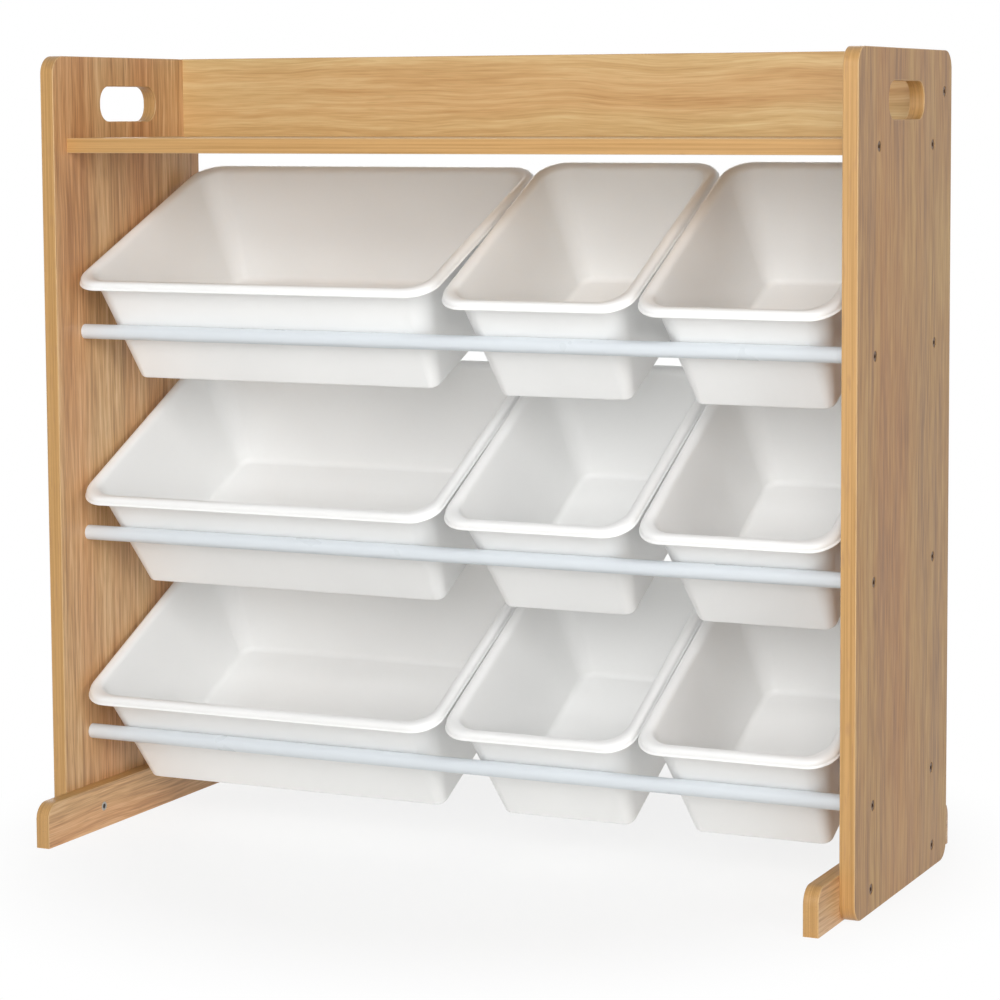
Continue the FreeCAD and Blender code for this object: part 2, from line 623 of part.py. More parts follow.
# ---------------------------------------------------------------- check and write
doc.recompute()
for thing in doc.Objects:
    if "Invalid" in thing.State or "Error" in thing.State:
        raise RuntimeError("%s did not compute: %s" % (thing.Label, thing.State))
for thing in subparts:
    if thing.Shape.isNull() or not thing.Shape.isValid():
        raise RuntimeError("%s has no valid shape" % thing.Label)
os.makedirs("parts", exist_ok=True)
for thing in subparts:
    thing.Shape.exportStep("parts/%s.step" % thing.Label)
    print("%-20s solids %2d  volume %10.1f" % (thing.Label, len(thing.Shape.Solids),
                                               thing.Shape.Volume))
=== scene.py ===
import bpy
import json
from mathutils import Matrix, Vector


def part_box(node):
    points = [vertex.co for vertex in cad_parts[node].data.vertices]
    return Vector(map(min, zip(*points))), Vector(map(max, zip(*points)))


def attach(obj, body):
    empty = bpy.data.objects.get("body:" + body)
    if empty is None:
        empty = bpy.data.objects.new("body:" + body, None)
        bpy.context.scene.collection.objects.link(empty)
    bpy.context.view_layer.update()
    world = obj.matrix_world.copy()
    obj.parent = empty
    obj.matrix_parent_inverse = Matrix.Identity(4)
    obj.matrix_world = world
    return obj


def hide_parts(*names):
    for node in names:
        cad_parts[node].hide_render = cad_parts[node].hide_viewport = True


bl_info = {
    "name": "Toy Storage Organizer",
    "version": (1, 0, 0),
    "blender": (4, 5, 0),
    "location": "View3D > Sidebar > Organizer",
    "description": "Dresses a nine-bin toy rack: laminated boards, moulded bins, coated rods",
    "category": "Object",
}

import json
import math

import bmesh
import bpy
from mathutils import Matrix, Vector

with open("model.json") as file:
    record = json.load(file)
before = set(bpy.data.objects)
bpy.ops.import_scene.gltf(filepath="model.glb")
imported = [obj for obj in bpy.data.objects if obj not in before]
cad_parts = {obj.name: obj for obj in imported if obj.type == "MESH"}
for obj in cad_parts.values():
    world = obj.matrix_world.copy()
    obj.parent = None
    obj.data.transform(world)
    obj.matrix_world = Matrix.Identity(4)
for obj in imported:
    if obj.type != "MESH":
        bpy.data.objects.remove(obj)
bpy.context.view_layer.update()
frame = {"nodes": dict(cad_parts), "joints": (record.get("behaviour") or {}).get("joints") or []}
MM = 0.001
TIERS = ("top", "middle", "bottom")


def linear(hex_colour):
    """An sRGB hex colour as linear red, green and blue."""
    channels = [int(hex_colour[i:i + 2], 16) / 255 for i in (1, 3, 5)]
    return tuple(c / 12.92 if c <= 0.04045 else ((c + 0.055) / 1.055) ** 2.4 for c in channels)


def length(label, about, default_mm):
    """A property that holds a length, given in millimetres and kept in metres."""
    return bpy.props.FloatProperty(name=label, description=about, default=default_mm * MM,
                                   precision=5, subtype="DISTANCE", unit="LENGTH")


def colour(label, about, hex_colour):
    """A property that holds a colour, given as sRGB hex."""
    return bpy.props.FloatVectorProperty(name=label, description=about, subtype="COLOR", size=3,
                                         min=0.0, max=1.0, default=linear(hex_colour))


# ---------------------------------------------------------------- sizes and colours
class BoardSettings(bpy.types.PropertyGroup):
    pale: colour("Pale grain", "Lightest early wood of the printed oak", "#E5C892")
    middle: colour("Middle grain", "Main tone of the printed oak", "#D6B177")
    deep: colour("Deep grain", "Late wood lines of the printed oak", "#BC925A")
    back_pale: colour("Back pale grain", "Lightest tone of the back board", "#DEC793")
    back_middle: colour("Back middle grain", "Main tone of the back board", "#D4B680")
    back_deep: colour("Back deep grain", "Darkest streaks of the back board", "#C4A26B")
    side_pale: colour("Side pale grain", "Lightest tone of the side panels", "#E6C598")
    side_middle: colour("Side middle grain", "Main tone of the side panels", "#D2A878")
    side_deep: colour("Side deep grain", "Darkest streaks of the side panels", "#AC8258")
    rosy: colour("Rosy sheet", "Tint of the print's broad rosy bands", "#FAE6DC")
    # a browner tint on the board faces that point out of the rack
    outer: colour("Outward tint", "Tint multiplied onto board faces that point out of the rack", "#DACEAA")
    band: colour("Edge band", "Strip glued round the boards' edges", "#C79B62")
    band_deep: colour("Edge band grain", "Darker grain in the edge strip", "#B2874E")
    # painted highlight: a pale line painted on the rounded edge where strip and face meet
    edge_highlight: colour("Painted edge highlight", "Thin pale line where strip and face meet", "#DFC398")
    streak_length: length("Streak length", "Length of a broad grain streak", 350)
    streak_width: length("Streak width", "Width of a broad grain streak", 13)
    line_length: length("Line length", "Length of a narrow grain line", 140)
    line_width: length("Line width", "Width of a narrow grain line", 4.5)
    fibre_length: length("Fibre length", "Length of the fine fibres in the print", 40)
    fibre_width: length("Fibre width", "Width of the fine fibres in the print", 1.5)
    sheet_length: length("Sheet length", "Length of a broad band of one tint", 800)
    sheet_width: length("Sheet width", "Width of a broad band of one tint", 60)
    pore_length: length("Pore length", "Length of one open pore", 22)
    pore_width: length("Pore width", "Width of one open pore", 1.1)


class BinSettings(bpy.types.PropertyGroup):
    height: length("Height", "Rim to floor, outside", 124)
    rim_length: length("Rim length", "Front to rear over the rim", 284)
    overhang: length("Rim overhang", "Rim beyond the wall", 11.5)
    end_draw: length("End draw-in", "Front and rear wall, from rim to floor", 20.5)
    side_draw: length("Side draw-in", "Side wall, from rim to floor", 19.5)
    wall: length("Wall", "Thickness of the walls", 2)
    floor: length("Floor", "Thickness of the floor", 2.2)
    rim_corner: length("Rim corner", "Corner radius of the rim", 28)
    wall_corner: length("Wall corner", "Corner radius of the walls under the rim", 26)
    floor_corner: length("Floor corner", "Corner radius of the walls at the floor", 10)
    inner_corner: length("Inner corner", "Corner radius of the walls' inside at the floor", 15)
    rim_depth: length("Rim depth", "Height of the rim's skirt", 8)
    skin: length("Rim skin", "Thickness of rim and skirt", 2.4)
    under: length("Under the rim", "From the rim's top to the hollow under it", 5.5)
    bead: length("Bead", "Thickness of the bead along the skirt's lower edge", 2.2)
    bead_step: length("Bead step", "How far the bead stands out from the skirt", 1.2)
    rim_round: length("Rim round", "Radius between the rim's top and its skirt", 4.5)
    mouth_round: length("Mouth round", "Radius at the mouth's edge", 7.0)
    floor_round: length("Floor round", "Outside radius between wall and floor", 2.5)
    inner_round: length("Inner round", "Inside radius between wall and floor", 5)
    solid_round: length("Solid's rim round", "Radius at the rim of the CAD solid", 1.1)
    plastic: colour("Plastic", "Off-white polypropylene", "#F9F9F8")


class MetalSettings(bpy.types.PropertyGroup):
    rod: colour("Rod coat", "Cool white powder coat", "#D9DFE4")
    screw: colour("Screw coat", "Brown lacquer on the screw heads", "#6E4F30")
    # painted shade for the screws' recesses
    recess: colour("Screw recess", "Painted shade in the key's recess", "#33241A")
    shade_from_depth: length("Recess lip", "Depth down to which no painted shade falls", 0.2)
    shade_full_depth: length("Recess dark", "Depth from which the painted shade is full", 1.9)
    zinc: colour("Zinc", "Zinc plating on the threaded inserts", "#B9B7B0")
    plug: colour("Plug", "Moulded plugs in the rod ends", "#D9DCDF")
    dowel: colour("Dowel", "Plain beech", "#CFAE7E")


class StageSettings(bpy.types.PropertyGroup):
    camera_x: length("Camera X", "Camera's place to the right", 1294.9)
    camera_y: length("Camera Y", "Camera's place to the back", -2649.1)
    camera_z: length("Camera Z", "Camera's height", 730.6)
    yaw: bpy.props.FloatProperty(name="Yaw", description="Turn about the vertical",
                                 default=math.radians(-24.355), subtype="ANGLE")
    pitch: bpy.props.FloatProperty(name="Pitch", description="Tilt above the horizon",
                                   default=math.radians(-5.214), subtype="ANGLE")
    roll: bpy.props.FloatProperty(name="Roll", description="Turn about the line of sight",
                                  default=math.radians(-0.210), subtype="ANGLE")
    sensor: length("Sensor", "Width of the camera's sensor", 36)
    lens: length("Focal length", "Focal length for that sensor", 108.1)
    shift_x: bpy.props.FloatProperty(name="Shift X", description="Sideways shift, of the width",
                                     default=-0.0782, precision=4)
    shift_y: bpy.props.FloatProperty(name="Shift Y", description="Upward shift, of the width",
                                     default=-0.1150, precision=4)
    floor_size: length("Floor size", "Side of the square floor", 9000)
    paper: colour("Floor", "Plain pale floor", "#F6F6F4")


# ---------------------------------------------------------------- node and mesh helpers
# inputs that share a name are told apart by number
FROM_LOW, FROM_HIGH, TO_LOW, TO_HIGH = 1, 2, 3, 4   # of Map Range
UNDER, OVER = 6, 7                                  # the colours of Mix
BLACK, WHITE = (0, 0, 0), (1, 1, 1)


def feed(tree, node, inputs):
    """Fill a node's inputs. Each gets a plain value, another node's output, or a node, which
    stands for the first of its outputs in use."""
    for key, given in inputs.items():
        if isinstance(given, bpy.types.Node):
            given = next(output for output in given.outputs if output.enabled)
        if isinstance(given, bpy.types.NodeSocket):
            tree.links.new(given, node.inputs[key])
        else:
            node.inputs[key].default_value = given


def add(tree, kind, inputs, stops=None, **settings):
    """Add a shader node with its settings and inputs; stops fill a ramp."""
    node = tree.nodes.new("ShaderNode" + kind)
    for name, setting in settings.items():
        setattr(node, name, setting)
    feed(tree, node, inputs)
    if stops:
        while len(node.color_ramp.elements) < len(stops):
            node.color_ramp.elements.new(1.0)
        for element, (position, tone) in zip(node.color_ramp.elements, stops):
            element.position = position
            element.color = (*tone, 1.0)
    return node


def new_material(name):
    """A material, with its node tree and its Principled shader."""
    material = bpy.data.materials.new(name)
    material.use_nodes = True
    tree = material.node_tree
    return material, tree, tree.nodes["Principled BSDF"]


def darker(tone, share):
    """A tone dimmed to a share of its light."""
    return [channel * share for channel in tone]


def dress(nodes, material):
    """Give CAD nodes a material."""
    for name in nodes:
        piece = frame["nodes"][name]
        piece.data.materials.clear()
        piece.data.materials.append(material)


def new_piece(name, bm, material, body):
    """Turn a bmesh into a smooth piece that rides on a body."""
    mesh = bpy.data.meshes.new(name)
    for face in bm.faces:
        face.smooth = True
    bm.to_mesh(mesh)
    bm.free()
    mesh.materials.append(material)
    piece = bpy.data.objects.new(name, mesh)
    bpy.context.scene.collection.objects.link(piece)
    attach(piece, body)
    return piece


# ---------------------------------------------------------------- materials
# how many of a pattern's clouds lie in a metre
DRIFT_PER_METRE = (4.5, 8, 8)       # wandering of the oak's streaks: along, across, through
STRIP_PER_METRE = 5                 # grain of an edge strip, along the strip
FLECKS_PER_METRE = (60, 900, 900)   # flecks of beech: along the grain and to its sides
FLOW_PER_METRE = 9                  # flow clouds of moulded plastic
HAZE_PER_METRE = 14                 # unevenness of a baked coat
# what each layer of the printed oak adds to its figure
STREAK_SHARE, LINE_SHARE, FIBRE_SHARE = 0.32, 0.36, 0.32
EDGE_HIGHLIGHT_SHARE = 0.35     # of the pale tone of the painted highlight, on the rounded edge where strip and face meet
WAVE_PERIOD = 0.314     # of a wave texture whose scale is 1


def laminate(name, axes, tones, sway, offset, outside=0, coarse=1.0):
    """Melamine-faced particle board with a printed oak figure, pressed with a shallow grain.

    axes are the letters of the grain's direction, the direction across it on the face, and the
    board's thickness. tones are pale, middle and deep. sway is how far the print's streaks wander
    sideways, and offset slides the print along the grain. outside is the side of the board, 1 or
    -1 along its thickness, whose faces are tinted browner; 0 where both faces are alike. coarse
    widens the figure. The surface is satin, with short dark pores and a painted highlight: a
    paler line painted on the rounded edge where the edge strip meets the face."""
    s = bpy.context.scene.organizer_boards
    material, tree, shader = new_material(name)
    place = add(tree, "TexCoord", {})
    split = add(tree, "SeparateXYZ", {0: place.outputs["Object"]})
    along, across, deep = (split.outputs[letter] for letter in axes)
    slid = add(tree, "Math", {0: along, 1: offset}, operation="ADD")
    board = add(tree, "CombineXYZ", {"X": slid, "Y": across, "Z": deep})
    drift_at = add(tree, "Mapping", {0: board, "Scale": DRIFT_PER_METRE})
    drift = add(tree, "TexNoise", {"Vector": drift_at, "Scale": 1.0, "Detail": 2.0})
    bend = add(tree, "MapRange", {0: drift, FROM_LOW: 0.25, FROM_HIGH: 0.75,
                                  TO_LOW: -sway, TO_HIGH: sway})
    bent = add(tree, "Math", {0: across, 1: bend}, operation="ADD")
    grain = add(tree, "CombineXYZ", {"X": slid, "Y": bent, "Z": deep})

    def layer(long, wide, detail):
        """Cloudy lines of a given length and width along the grain."""
        finer = 1 / (wide * coarse)
        lines_at = add(tree, "Mapping", {0: grain, "Scale": (1 / long, finer, finer)})
        return add(tree, "TexNoise", {"Vector": lines_at, "Scale": 1.0, "Detail": detail})

    streak = layer(s.streak_length, s.streak_width, 2.0)
    line = layer(s.line_length, s.line_width, 2.0)
    fibre = layer(s.fibre_length, s.fibre_width, 2.0)
    cloud = layer(s.sheet_length, s.sheet_width, 1.0)
    pore = layer(s.pore_length, s.pore_width, 0.0)
    fine = add(tree, "Math", {0: fibre, 1: FIBRE_SHARE}, operation="MULTIPLY")
    both = add(tree, "Math", {0: line, 1: LINE_SHARE, 2: fine}, operation="MULTIPLY_ADD")
    figure = add(tree, "Math", {0: streak, 1: STREAK_SHARE, 2: both}, operation="MULTIPLY_ADD")
    pale, middle, dark = tones
    print_tone = add(tree, "ValToRGB", {0: figure},
                     stops=[(0.38, dark), (0.50, middle), (0.61, pale)])
    # broad rosy bands, as the log's annual growth tints the print
    rosy_share = add(tree, "MapRange", {0: cloud, FROM_LOW: 0.42, FROM_HIGH: 0.62, TO_HIGH: 0.75})
    rosy = add(tree, "Mix", {0: rosy_share, UNDER: print_tone, OVER: (*s.rosy, 1)},
               data_type="RGBA", blend_type="MULTIPLY")
    facing = add(tree, "SeparateXYZ", {0: place.outputs["Normal"]})
    towards = facing.outputs[axes[2]]
    # faces that point out of the rack are tinted browner
    outer_share = add(tree, "MapRange", {0: towards, FROM_HIGH: outside or 1.0,
                                         TO_HIGH: abs(outside)})
    face = add(tree, "Mix", {0: outer_share, UNDER: rosy, OVER: (*s.outer, 1)},
               data_type="RGBA", blend_type="MULTIPLY")
    # the edge strip's grain runs along the strip, whichever way the strip runs
    strip_at = add(tree, "Mapping", {0: board, "Scale": (STRIP_PER_METRE, STRIP_PER_METRE,
                                                         1 / s.fibre_width)})
    strip = add(tree, "TexNoise", {"Vector": strip_at, "Scale": 1.0, "Detail": 3.0})
    band = add(tree, "ValToRGB", {0: strip}, stops=[(0.32, s.band_deep), (0.60, s.band)])
    # how squarely a point faces along the board's thickness: 1 on a face, 0 on an edge
    squareness = add(tree, "Math", {0: towards}, operation="ABSOLUTE")
    on_face = add(tree, "MapRange", {0: squareness, FROM_LOW: 0.90, FROM_HIGH: 0.99})
    # painted highlight: the rounded edge between strip and face, where a pale line is painted
    edge_highlight_mask = add(tree, "ValToRGB", {0: squareness},
                    stops=[(0.10, BLACK), (0.30, WHITE), (0.90, WHITE), (0.98, BLACK)])
    tone = add(tree, "Mix", {0: on_face, UNDER: band, OVER: face}, data_type="RGBA")
    highlight_share = add(tree, "Math", {0: edge_highlight_mask, 1: EDGE_HIGHLIGHT_SHARE}, operation="MULTIPLY")
    highlighted = add(tree, "Mix", {0: highlight_share, UNDER: tone, OVER: (*s.edge_highlight, 1)}, data_type="RGBA")
    pores = add(tree, "MapRange", {0: pore, FROM_LOW: 0.62, FROM_HIGH: 0.78, TO_HIGH: 0.45})
    pored = add(tree, "Mix", {0: pores, UNDER: highlighted, OVER: (*dark, 1)}, data_type="RGBA")
    gloss = add(tree, "MapRange", {0: streak, TO_LOW: 0.36, TO_HIGH: 0.50})
    relief = add(tree, "Math", {0: pore, 1: fibre}, operation="ADD")
    bump = add(tree, "Bump", {"Strength": 0.16, "Distance": 0.3 * MM, "Height": relief})
    feed(tree, shader, {"Base Color": pored, "Roughness": gloss, "IOR": 1.5, "Normal": bump})
    return material


def polypropylene(name, tone, roughness):
    """Injection-moulded polypropylene: soft satin from a spark-eroded mould, faint flow clouds.

    The mould's texture is about 0.3 mm, drawn at 1.5 mm so that it shows at all."""
    material, tree, shader = new_material(name)
    place = add(tree, "TexCoord", {}).outputs["Object"]
    clouds = add(tree, "TexNoise", {"Vector": place, "Scale": FLOW_PER_METRE, "Detail": 2.0})
    spark = add(tree, "TexNoise", {"Vector": place, "Scale": 1 / (1.5 * MM), "Detail": 2.0})
    shade = add(tree, "ValToRGB", {0: clouds}, stops=[(0.30, darker(tone, 0.97)), (0.70, tone)])
    gloss = add(tree, "MapRange", {0: clouds, TO_LOW: roughness - 0.05,
                                   TO_HIGH: roughness + 0.06})
    bump = add(tree, "Bump", {"Strength": 0.10, "Distance": 0.2 * MM, "Height": spark})
    feed(tree, shader, {"Base Color": shade, "Roughness": gloss, "IOR": 1.49, "Normal": bump})
    return material


def powder_coat(name, tone):
    """Baked powder coat on steel tube: smooth satin with the slight orange peel of the powder,
    whose dimples are about 2 mm apart."""
    material, tree, shader = new_material(name)
    place = add(tree, "TexCoord", {}).outputs["Object"]
    peel = add(tree, "TexNoise", {"Vector": place, "Scale": 1 / (2.0 * MM), "Detail": 1.0})
    haze = add(tree, "TexNoise", {"Vector": place, "Scale": HAZE_PER_METRE, "Detail": 3.0})
    shade = add(tree, "ValToRGB", {0: haze}, stops=[(0.3, darker(tone, 0.985)), (0.7, tone)])
    gloss = add(tree, "MapRange", {0: haze, TO_LOW: 0.24, TO_HIGH: 0.34})
    bump = add(tree, "Bump", {"Strength": 0.12, "Distance": 0.2 * MM, "Height": peel})
    feed(tree, shader, {"Base Color": shade, "Roughness": gloss, "IOR": 1.5, "Normal": bump,
                        "Coat Weight": 0.15, "Coat Roughness": 0.2})
    return material


def lacquered_steel(name, s, face_x):
    """Steel screw with brown lacquer on the head, scuffed in patches of about 0.9 mm; the key's
    recess and all that lies deeper than the heads' outer face carry a painted shade, dark with
    depth.

    face_x is how far the heads' outer faces lie from the middle of the rack."""
    material, tree, shader = new_material(name)
    place = add(tree, "TexCoord", {}).outputs["Object"]
    split = add(tree, "SeparateXYZ", {0: place})
    outward = add(tree, "Math", {0: split.outputs["X"]}, operation="ABSOLUTE")
    # painted shade: darker with depth below the heads' outer face, dark in the key's recess
    lit = add(tree, "MapRange", {0: outward, FROM_LOW: face_x - s.shade_full_depth,
                                 FROM_HIGH: face_x - s.shade_from_depth})
    scuff = add(tree, "TexNoise", {"Vector": place, "Scale": 1 / (0.9 * MM), "Detail": 3.0})
    shade = add(tree, "ValToRGB", {0: scuff},
                stops=[(0.35, darker(s.screw, 0.8)), (0.65, s.screw)])
    mixed = add(tree, "Mix", {0: lit, UNDER: (*s.recess, 1), OVER: shade}, data_type="RGBA")
    gloss = add(tree, "MapRange", {0: scuff, TO_LOW: 0.30, TO_HIGH: 0.48})
    bump = add(tree, "Bump", {"Strength": 0.2, "Distance": 0.1 * MM, "Height": scuff})
    feed(tree, shader, {"Base Color": mixed, "Roughness": gloss, "Metallic": 0.25,
                        "Normal": bump})
    return material


def zinc_plate(name, tone):
    """Bright zinc plating, cloudy from the bath every 3 mm, with turning marks 0.6 mm apart."""
    material, tree, shader = new_material(name)
    place = add(tree, "TexCoord", {}).outputs["Object"]
    cloud = add(tree, "TexNoise", {"Vector": place, "Scale": 1 / (3.0 * MM), "Detail": 3.0})
    shade = add(tree, "ValToRGB", {0: cloud}, stops=[(0.3, darker(tone, 0.8)), (0.7, tone)])
    gloss = add(tree, "MapRange", {0: cloud, TO_LOW: 0.22, TO_HIGH: 0.42})
    marks = add(tree, "TexWave", {"Vector": place, "Scale": WAVE_PERIOD / (0.6 * MM)},
                bands_direction="X")
    bump = add(tree, "Bump", {"Strength": 0.15, "Distance": 0.1 * MM,
                              "Height": marks.outputs["Fac"]})
    feed(tree, shader, {"Base Color": shade, "Roughness": gloss, "Metallic": 1.0, "Normal": bump})
    return material


def beech(name, tone):
    """Plain beech dowel: straight grain along X with short flecks."""
    material, tree, shader = new_material(name)
    place = add(tree, "TexCoord", {}).outputs["Object"]
    stretched = add(tree, "Mapping", {0: place, "Scale": FLECKS_PER_METRE})
    fleck = add(tree, "TexNoise", {"Vector": stretched, "Scale": 1.0, "Detail": 3.0})
    shade = add(tree, "ValToRGB", {0: fleck}, stops=[(0.35, darker(tone, 0.75)), (0.65, tone)])
    bump = add(tree, "Bump", {"Strength": 0.2, "Distance": 0.2 * MM, "Height": fleck})
    feed(tree, shader, {"Base Color": shade, "Roughness": 0.6, "IOR": 1.5, "Normal": bump})
    return material


# ---------------------------------------------------------------- moulded bins
# faces along each round of a bin's section, and along each of its corners
INNER_STEPS, MOUTH_STEPS, RIM_STEPS, BEAD_STEPS, FLOOR_STEPS = 6, 4, 5, 6, 5
CORNER_STEPS = 8
BEAD_START = 70     # degrees above level, where the bead's round leaves the skirt
SKIRT_END = 0.8     # of the bead's thickness, above the bead's middle


class Ring:
    """A rounded rectangle that a bin's skin passes through: half sizes, corner radius, height."""

    def __init__(self, half_x, half_y, corner, z):
        self.half_x = half_x
        self.half_y = half_y
        self.corner = corner
        self.z = z

    def centre(self, sign_x, sign_y):
        """The middle of one of the corner arcs."""
        return Vector((sign_x * (self.half_x - self.corner), sign_y * (self.half_y - self.corner),
                       self.z))


def arc_steps(first, last, count):
    """Angles in radians from first to last degrees, ends included."""
    return [math.radians(first + (last - first) * step / count) for step in range(count + 1)]


def bin_rings(s, wide):
    """The rings of a bin from the edge of its inner floor, over the rim, to its outer floor."""
    half_x = wide / 2 - s.overhang
    half_y = s.rim_length / 2 - s.overhang

    def ring(outset, z, corner=None):
        """outset is measured from the wall's outer side at that height."""
        drawn = -z / s.height
        at_wall = s.wall_corner + (s.floor_corner - s.wall_corner) * drawn
        return Ring(half_x - s.side_draw * drawn + outset, half_y - s.end_draw * drawn + outset,
                    corner or at_wall + outset, z)

    def rim_ring(outset, z):
        """As ring, but with an upright wall and a corner that swells to the rim's."""
        share = max(0.0, outset / s.overhang)
        corner = s.wall_corner + (s.rim_corner - s.wall_corner) * share + min(0.0, outset)
        return Ring(half_x + outset, half_y + outset, corner, z)

    rings = []
    # inside, from the floor's edge into the wall
    low = s.floor - s.height
    for a in arc_steps(0, 90, INNER_STEPS):
        shrunk = s.inner_round * (1 - math.sin(a))
        rings.append(ring(-s.wall - shrunk, low + s.inner_round * (1 - math.cos(a)),
                          s.inner_corner - shrunk))
    # up the wall and out over the mouth, then over the shoulder of the rim
    for a in arc_steps(0, 90, MOUTH_STEPS):
        rings.append(rim_ring(-s.wall + s.mouth_round * (1 - math.cos(a)),
                              -s.mouth_round * (1 - math.sin(a))))
    shoulder = s.overhang - s.bead_step - s.rim_round
    for a in arc_steps(0, 90, RIM_STEPS):
        rings.append(rim_ring(shoulder + s.rim_round * math.sin(a),
                              -s.rim_round * (1 - math.cos(a))))
    # down the skirt and round its bead
    skirt = s.overhang - s.bead_step
    bead_middle = s.bead / 2 - s.rim_depth
    rings.append(rim_ring(skirt, bead_middle + s.bead * SKIRT_END))
    for a in arc_steps(BEAD_START, -90, BEAD_STEPS):
        rings.append(rim_ring(s.overhang - s.bead / 2 + s.bead / 2 * math.cos(a),
                              bead_middle + s.bead / 2 * math.sin(a)))
    # the hollow under the rim, then down the wall and round to the outer floor
    inside = s.overhang - s.skin
    rings.append(rim_ring(inside, -s.rim_depth))
    rings.append(rim_ring(inside, -s.under))
    rings.append(ring(0, -s.under))
    for a in arc_steps(0, 90, FLOOR_STEPS):
        rings.append(ring(-s.floor_round * (1 - math.cos(a)),
                          -s.height + s.floor_round * (1 - math.sin(a))))
    return rings


def rounded_face(bm, ring):
    """A flat face with round corners."""
    made = bmesh.ops.create_grid(bm, x_segments=1, y_segments=1, size=1.0)
    bmesh.ops.scale(bm, vec=(ring.half_x, ring.half_y, 1), verts=made["verts"])
    bmesh.ops.translate(bm, vec=(0, 0, ring.z), verts=made["verts"])
    bmesh.ops.bevel(bm, geom=made["verts"], offset=ring.corner, offset_type="OFFSET",
                    segments=CORNER_STEPS, profile=0.5, affect="VERTICES", material=-1)


def next_ring(bm, edges, start, end):
    """Extrude a ring of edges, and bring each corner arc to its new radius and place."""
    made = bmesh.ops.extrude_edge_only(bm, edges=edges)["geom"]
    fresh = [item for item in made if isinstance(item, bmesh.types.BMVert)]
    for sign_x in (-1, 1):
        for sign_y in (-1, 1):
            arc = [v for v in fresh if v.co.x * sign_x > 0 and v.co.y * sign_y > 0]
            old, new = start.centre(sign_x, sign_y), end.centre(sign_x, sign_y)
            grown = end.corner / start.corner
            bmesh.ops.scale(bm, vec=(grown, grown, 1), space=Matrix.Translation(-old), verts=arc)
            bmesh.ops.translate(bm, vec=new - old, verts=arc)
    known = set(fresh)
    return [item for item in made if isinstance(item, bmesh.types.BMEdge)
            and all(v in known for v in item.verts)]


def bin_place(s, node):
    """Where a bin's rim has its middle, and how the bin leans, worked out from its CAD node."""
    low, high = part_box(node)
    joint = next(joint for joint in frame["joints"] if joint["child"] == node)
    tilt = math.radians(joint["range_deg"][1])
    # the CAD box ends at the rounded edge of the rim, so it is measured from that round's axis
    axis = Vector((0, s.rim_length / 2 - s.solid_round, -s.solid_round))
    axis.rotate(Matrix.Rotation(tilt, 3, "X"))
    front = Vector((0, s.solid_round - s.rim_length / 2, -s.solid_round))
    front.rotate(Matrix.Rotation(tilt, 3, "X"))
    middle = Vector(((low.x + high.x) / 2, low.y + s.solid_round - front.y,
                     high.z - s.solid_round - axis.z))
    return Matrix.Translation(middle) @ Matrix.Rotation(tilt, 4, "X"), high.x - low.x


def moulded_bin(node, material):
    """One open bin with drawn-in walls, a turned-down rim and a bead along its skirt."""
    s = bpy.context.scene.organizer_bins
    place, wide = bin_place(s, node)
    bm = bmesh.new()
    rings = bin_rings(s, wide)
    rounded_face(bm, rings[0])
    edges = bm.edges[:]
    for start, end in zip(rings, rings[1:]):
        edges = next_ring(bm, edges, start, end)
    bmesh.ops.contextual_create(bm, geom=edges)
    bmesh.ops.recalc_face_normals(bm, faces=bm.faces[:])
    bmesh.ops.transform(bm, matrix=place, verts=bm.verts[:])
    piece = new_piece(node + "_moulding", bm, material, node)
    even = piece.modifiers.new("Even shading", "WEIGHTED_NORMAL")
    even.weight = 100   # the most, so that the walls stay flat next to their rounds
    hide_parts(node)
    return piece


# ---------------------------------------------------------------- operators
class ORGANIZER_OT_boards(bpy.types.Operator):
    """Dress the six boards in printed oak laminate"""
    bl_idname = "organizer.boards"
    bl_label = "Boards"

    def execute(self, context):
        s = context.scene.organizer_boards
        front = (s.pale, s.middle, s.deep)
        back = (s.back_pale, s.back_middle, s.back_deep)
        sides = (s.side_pale, s.side_middle, s.side_deep)
        # board, tones, axes, sway in mm, slide in metres, browner side, coarseness
        for name, tones, axes, sway, offset, outside, coarse in (
                ("left_side_panel", sides, "ZYX", 3, 1.3, -1, 1.0),
                ("right_side_panel", sides, "ZYX", 4, 4.1, 1, 1.8),
                ("back_panel", back, "XZY", 7, 0.35, 0, 1.0),
                ("top_shelf", front, "XYZ", 6, 2.2, 0, 1.0),
                ("left_foot", sides, "YZX", 4, 3.7, 0, 1.0),
                ("right_foot", sides, "YZX", 4, 5.9, 0, 1.0)):
            dress([name], laminate("oak_laminate_" + name, axes, tones, sway * MM, offset,
                                   outside, coarse))
        return {"FINISHED"}


class ORGANIZER_OT_rods(bpy.types.Operator):
    """Coat the six rods and finish the plugs in their ends"""
    bl_idname = "organizer.rods"
    bl_label = "Rods"

    def execute(self, context):
        s = context.scene.organizer_metal
        dress([f"{where}_rod_{tier}" for tier in TIERS for where in ("front", "rear")],
              powder_coat("white_powder_coat", s.rod))
        dress(["rod_plugs_left", "rod_plugs_right"],
              polypropylene("plug_plastic", s.plug, roughness=0.5))
        return {"FINISHED"}


class ORGANIZER_OT_fasteners(bpy.types.Operator):
    """Finish the screws, bolts, threaded inserts and dowels"""
    bl_idname = "organizer.fasteners"
    bl_label = "Fasteners"

    def execute(self, context):
        s = context.scene.organizer_metal
        heads = ["shelf_screws", "back_panel_screws", "rod_screws", "foot_bolts"]
        face_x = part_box("rod_screws")[1].x
        dress(heads, lacquered_steel("brown_lacquered_steel", s, face_x))
        dress(["foot_inserts"], zinc_plate("zinc_plated_steel", s.zinc))
        dress(["shelf_dowels", "back_panel_dowels"], beech("plain_beech", s.dowel))
        return {"FINISHED"}


